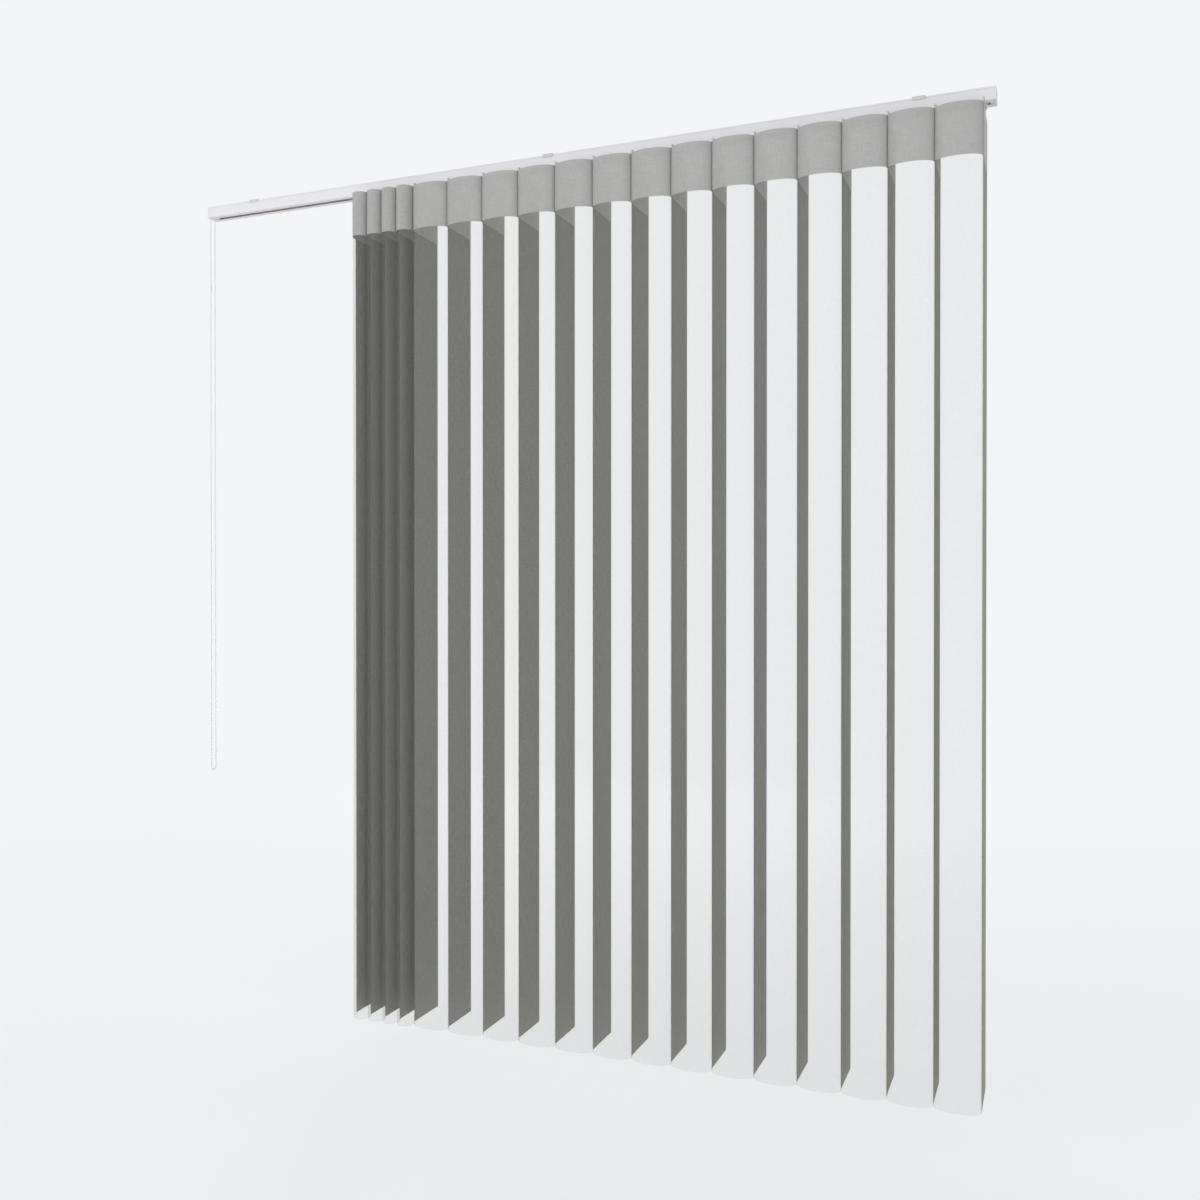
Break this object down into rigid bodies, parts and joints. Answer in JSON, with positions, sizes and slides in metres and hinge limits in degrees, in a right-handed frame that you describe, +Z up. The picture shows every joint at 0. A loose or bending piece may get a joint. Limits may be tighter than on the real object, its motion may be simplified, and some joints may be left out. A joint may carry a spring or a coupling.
{
  "type": "vertical blind",
  "caption": "Ceiling-fixed vertical blind with a slim headrail, turning opaque vanes behind a scalloped sheer, and a bead chain at one end.",
  "frame": {"origin": "on the ceiling plane over the middle of the headrail, midway between the end clips' screw holes", "axes": "+X along the rail away from the chain, +Y to the window, +Z up"},
  "size_m": [2.23, 0.1675, 2.3245],
  "materials": {
    "rail_white": "satin white paint",
    "cap_white": "fine matte white",
    "clip_white": "satin white paint",
    "carrier_white": "smooth white plastic",
    "rod_metal": "drawn aluminium",
    "chain_white": "moulded white plastic",
    "vane_cloth": "plain woven opaque cloth",
    "sheer_cloth": "fine sheer voile"
  },
  "bodies": {
    "headrail_fixed": {"headrail": "rail_white", "control_housing": "cap_white", "control_cover": "cap_white", "far_end_cap": "cap_white", "rod_bearing": "carrier_white", "ceiling_clip_left": "clip_white", "ceiling_clip_middle": "clip_white", "ceiling_clip_right": "clip_white", "bead_chain": "chain_white", "chain_connector": "chain_white", "sheer": "sheer_cloth", "carrier_19": "carrier_white"},
    "tilt_drive": {"chain_wheel": "carrier_white", "tilt_rod": "rod_metal"},
    "carrier_01": {"carrier_01": "carrier_white"},
    "carrier_02": {"carrier_02": "carrier_white"},
    "carrier_03": {"carrier_03": "carrier_white"},
    "carrier_04": {"carrier_04": "carrier_white"},
    "carrier_05": {"carrier_05": "carrier_white"},
    "carrier_06": {"carrier_06": "carrier_white"},
    "carrier_07": {"carrier_07": "carrier_white"},
    "carrier_08": {"carrier_08": "carrier_white"},
    "carrier_09": {"carrier_09": "carrier_white"},
    "carrier_10": {"carrier_10": "carrier_white"},
    "carrier_11": {"carrier_11": "carrier_white"},
    "carrier_12": {"carrier_12": "carrier_white"},
    "carrier_13": {"carrier_13": "carrier_white"},
    "carrier_14": {"carrier_14": "carrier_white"},
    "carrier_15": {"carrier_15": "carrier_white"},
    "carrier_16": {"carrier_16": "carrier_white"},
    "carrier_17": {"carrier_17": "carrier_white"},
    "carrier_18": {"carrier_18": "carrier_white"},
    "vane_01": {"vane_01": "vane_cloth"},
    "vane_02": {"vane_02": "vane_cloth"},
    "vane_03": {"vane_03": "vane_cloth"},
    "vane_04": {"vane_04": "vane_cloth"},
    "vane_05": {"vane_05": "vane_cloth"},
    "vane_06": {"vane_06": "vane_cloth"},
    "vane_07": {"vane_07": "vane_cloth"},
    "vane_08": {"vane_08": "vane_cloth"},
    "vane_09": {"vane_09": "vane_cloth"},
    "vane_10": {"vane_10": "vane_cloth"},
    "vane_11": {"vane_11": "vane_cloth"},
    "vane_12": {"vane_12": "vane_cloth"},
    "vane_13": {"vane_13": "vane_cloth"},
    "vane_14": {"vane_14": "vane_cloth"},
    "vane_15": {"vane_15": "vane_cloth"},
    "vane_16": {"vane_16": "vane_cloth"},
    "vane_17": {"vane_17": "vane_cloth"},
    "vane_18": {"vane_18": "vane_cloth"},
    "vane_19": {"vane_19": "vane_cloth"}
  },
  "joints": [
    {"name": "slide_05", "type": "slide", "parent": "headrail_fixed", "child": "carrier_05", "axis": [1, 0, 0], "range_m": [0, 1.246], "deforming": ["sheer"]},
    {"name": "slide_06", "type": "slide", "parent": "headrail_fixed", "child": "carrier_06", "axis": [1, 0, 0], "range_m": [0, 1.157]},
    {"name": "slide_07", "type": "slide", "parent": "headrail_fixed", "child": "carrier_07", "axis": [1, 0, 0], "range_m": [0, 1.068]},
    {"name": "slide_08", "type": "slide", "parent": "headrail_fixed", "child": "carrier_08", "axis": [1, 0, 0], "range_m": [0, 0.979]},
    {"name": "slide_09", "type": "slide", "parent": "headrail_fixed", "child": "carrier_09", "axis": [1, 0, 0], "range_m": [0, 0.89]},
    {"name": "slide_10", "type": "slide", "parent": "headrail_fixed", "child": "carrier_10", "axis": [1, 0, 0], "range_m": [0, 0.801]},
    {"name": "slide_11", "type": "slide", "parent": "headrail_fixed", "child": "carrier_11", "axis": [1, 0, 0], "range_m": [0, 0.712]},
    {"name": "slide_12", "type": "slide", "parent": "headrail_fixed", "child": "carrier_12", "axis": [1, 0, 0], "range_m": [0, 0.623]},
    {"name": "slide_13", "type": "slide", "parent": "headrail_fixed", "child": "carrier_13", "axis": [1, 0, 0], "range_m": [0, 0.534]},
    {"name": "slide_14", "type": "slide", "parent": "headrail_fixed", "child": "carrier_14", "axis": [1, 0, 0], "range_m": [0, 0.445]},
    {"name": "slide_15", "type": "slide", "parent": "headrail_fixed", "child": "carrier_15", "axis": [1, 0, 0], "range_m": [0, 0.356]},
    {"name": "slide_16", "type": "slide", "parent": "headrail_fixed", "child": "carrier_16", "axis": [1, 0, 0], "range_m": [0, 0.267]},
    {"name": "slide_17", "type": "slide", "parent": "headrail_fixed", "child": "carrier_17", "axis": [1, 0, 0], "range_m": [0, 0.178]},
    {"name": "slide_18", "type": "slide", "parent": "headrail_fixed", "child": "carrier_18", "axis": [1, 0, 0], "range_m": [0, 0.089]},
    {"name": "slide_04", "type": "slide", "parent": "carrier_05", "child": "carrier_04", "axis": [1, 0, 0], "range_m": [-0.0585, 0.0305], "deforming": ["sheer"]},
    {"name": "slide_03", "type": "slide", "parent": "carrier_04", "child": "carrier_03", "axis": [1, 0, 0], "range_m": [-0.0585, 0.0305]},
    {"name": "slide_02", "type": "slide", "parent": "carrier_03", "child": "carrier_02", "axis": [1, 0, 0], "range_m": [-0.0585, 0.0305]},
    {"name": "slide_01", "type": "slide", "parent": "carrier_02", "child": "carrier_01", "axis": [1, 0, 0], "range_m": [-0.0585, 0.0305]},
    {"name": "tilt_01", "type": "hinge", "parent": "carrier_01", "child": "vane_01", "pos_m": [-0.566, 0, -0.0515], "axis": [0, 0, 1], "range_deg": [-80, 80]},
    {"name": "tilt_02", "type": "hinge", "parent": "carrier_02", "child": "vane_02", "pos_m": [-0.5195, 0, -0.0515], "axis": [0, 0, 1], "range_deg": [-80, 80]},
    {"name": "tilt_03", "type": "hinge", "parent": "carrier_03", "child": "vane_03", "pos_m": [-0.473, 0, -0.0515], "axis": [0, 0, 1], "range_deg": [-80, 80]},
    {"name": "tilt_04", "type": "hinge", "parent": "carrier_04", "child": "vane_04", "pos_m": [-0.4265, 0, -0.0515], "axis": [0, 0, 1], "range_deg": [-80, 80]},
    {"name": "tilt_05", "type": "hinge", "parent": "carrier_05", "child": "vane_05", "pos_m": [-0.38, 0, -0.0515], "axis": [0, 0, 1], "range_deg": [-80, 80]},
    {"name": "tilt_06", "type": "hinge", "parent": "carrier_06", "child": "vane_06", "pos_m": [-0.275, 0, -0.0515], "axis": [0, 0, 1], "range_deg": [-80, 80]},
    {"name": "tilt_07", "type": "hinge", "parent": "carrier_07", "child": "vane_07", "pos_m": [-0.17, 0, -0.0515], "axis": [0, 0, 1], "range_deg": [-80, 80]},
    {"name": "tilt_08", "type": "hinge", "parent": "carrier_08", "child": "vane_08", "pos_m": [-0.065, 0, -0.0515], "axis": [0, 0, 1], "range_deg": [-80, 80]},
    {"name": "tilt_09", "type": "hinge", "parent": "carrier_09", "child": "vane_09", "pos_m": [0.04, 0, -0.0515], "axis": [0, 0, 1], "range_deg": [-80, 80]},
    {"name": "tilt_10", "type": "hinge", "parent": "carrier_10", "child": "vane_10", "pos_m": [0.145, 0, -0.0515], "axis": [0, 0, 1], "range_deg": [-80, 80]},
    {"name": "tilt_11", "type": "hinge", "parent": "carrier_11", "child": "vane_11", "pos_m": [0.25, 0, -0.0515], "axis": [0, 0, 1], "range_deg": [-80, 80]},
    {"name": "tilt_12", "type": "hinge", "parent": "carrier_12", "child": "vane_12", "pos_m": [0.355, 0, -0.0515], "axis": [0, 0, 1], "range_deg": [-80, 80]},
    {"name": "tilt_13", "type": "hinge", "parent": "carrier_13", "child": "vane_13", "pos_m": [0.46, 0, -0.0515], "axis": [0, 0, 1], "range_deg": [-80, 80]},
    {"name": "tilt_14", "type": "hinge", "parent": "carrier_14", "child": "vane_14", "pos_m": [0.565, 0, -0.0515], "axis": [0, 0, 1], "range_deg": [-80, 80]},
    {"name": "tilt_15", "type": "hinge", "parent": "carrier_15", "child": "vane_15", "pos_m": [0.67, 0, -0.0515], "axis": [0, 0, 1], "range_deg": [-80, 80]},
    {"name": "tilt_16", "type": "hinge", "parent": "carrier_16", "child": "vane_16", "pos_m": [0.775, 0, -0.0515], "axis": [0, 0, 1], "range_deg": [-80, 80]},
    {"name": "tilt_17", "type": "hinge", "parent": "carrier_17", "child": "vane_17", "pos_m": [0.88, 0, -0.0515], "axis": [0, 0, 1], "range_deg": [-80, 80]},
    {"name": "tilt_18", "type": "hinge", "parent": "carrier_18", "child": "vane_18", "pos_m": [0.985, 0, -0.0515], "axis": [0, 0, 1], "range_deg": [-80, 80]},
    {"name": "tilt_19", "type": "hinge", "parent": "headrail_fixed", "child": "vane_19", "pos_m": [1.09, 0, -0.0515], "axis": [0, 0, 1], "range_deg": [-80, 80]},
    {"name": "chain_wheel_turn", "type": "hinge", "parent": "headrail_fixed", "child": "tilt_drive", "pos_m": [-1.1, -0.005, -0.016], "axis": [1, 0, 0], "range_deg": [-640, 640]}
  ],
  "couplings": [
    {"joint": "slide_06", "follows": "slide_05", "ratio": 0.92857},
    {"joint": "slide_07", "follows": "slide_05", "ratio": 0.85714},
    {"joint": "slide_08", "follows": "slide_05", "ratio": 0.78571},
    {"joint": "slide_09", "follows": "slide_05", "ratio": 0.71429},
    {"joint": "slide_10", "follows": "slide_05", "ratio": 0.64286},
    {"joint": "slide_11", "follows": "slide_05", "ratio": 0.57143},
    {"joint": "slide_12", "follows": "slide_05", "ratio": 0.5},
    {"joint": "slide_13", "follows": "slide_05", "ratio": 0.42857},
    {"joint": "slide_14", "follows": "slide_05", "ratio": 0.35714},
    {"joint": "slide_15", "follows": "slide_05", "ratio": 0.28571},
    {"joint": "slide_16", "follows": "slide_05", "ratio": 0.21429},
    {"joint": "slide_17", "follows": "slide_05", "ratio": 0.14286},
    {"joint": "slide_18", "follows": "slide_05", "ratio": 0.071429},
    {"joint": "slide_03", "follows": "slide_04", "ratio": 1},
    {"joint": "slide_02", "follows": "slide_04", "ratio": 1},
    {"joint": "slide_01", "follows": "slide_04", "ratio": 1},
    {"joint": "tilt_02", "follows": "tilt_01", "ratio": 1},
    {"joint": "tilt_03", "follows": "tilt_01", "ratio": 1},
    {"joint": "tilt_04", "follows": "tilt_01", "ratio": 1},
    {"joint": "tilt_05", "follows": "tilt_01", "ratio": 1},
    {"joint": "tilt_06", "follows": "tilt_01", "ratio": 1},
    {"joint": "tilt_07", "follows": "tilt_01", "ratio": 1},
    {"joint": "tilt_08", "follows": "tilt_01", "ratio": 1},
    {"joint": "tilt_09", "follows": "tilt_01", "ratio": 1},
    {"joint": "tilt_10", "follows": "tilt_01", "ratio": 1},
    {"joint": "tilt_11", "follows": "tilt_01", "ratio": 1},
    {"joint": "tilt_12", "follows": "tilt_01", "ratio": 1},
    {"joint": "tilt_13", "follows": "tilt_01", "ratio": 1},
    {"joint": "tilt_14", "follows": "tilt_01", "ratio": 1},
    {"joint": "tilt_15", "follows": "tilt_01", "ratio": 1},
    {"joint": "tilt_16", "follows": "tilt_01", "ratio": 1},
    {"joint": "tilt_17", "follows": "tilt_01", "ratio": 1},
    {"joint": "tilt_18", "follows": "tilt_01", "ratio": 1},
    {"joint": "tilt_19", "follows": "tilt_01", "ratio": 1},
    {"joint": "chain_wheel_turn", "follows": "tilt_01", "ratio": 8}
  ]
}
